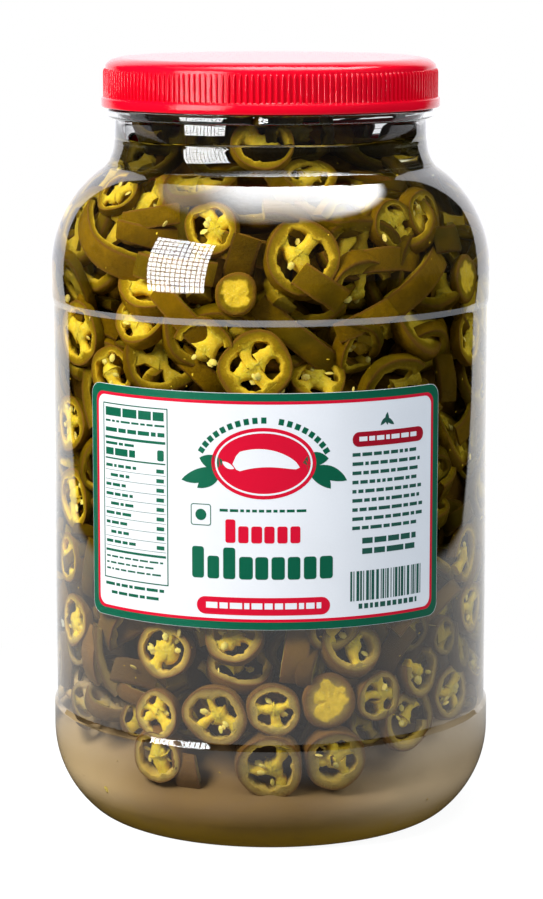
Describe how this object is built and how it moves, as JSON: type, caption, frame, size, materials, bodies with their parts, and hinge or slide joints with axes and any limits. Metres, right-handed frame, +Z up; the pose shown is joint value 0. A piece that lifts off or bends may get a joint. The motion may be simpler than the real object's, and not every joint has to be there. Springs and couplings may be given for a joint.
{
  "type": "jar of sliced jalapenos",
  "caption": "Tall round clear jar with a ribbed screw lid and a front label, full of sliced green peppers in brine.",
  "frame": {"origin": "centre of the jar's foot, on the surface it stands on", "axes": "+Z up along the jar's axis, the middle of the front faces -Y"},
  "size_m": [0.1528, 0.1528, 0.2629],
  "materials": {
    "clear_wall": "clear gloss",
    "lid": "gloss, moulded",
    "label": "printed paper, satin",
    "brine": "clear liquid",
    "pepper": "wet flesh and skin"
  },
  "bodies": {
    "root": {"jar": "clear_wall", "lid": "lid", "label": "label", "brine": "brine", "slices_top": "pepper"}
  },
  "joints": []
}
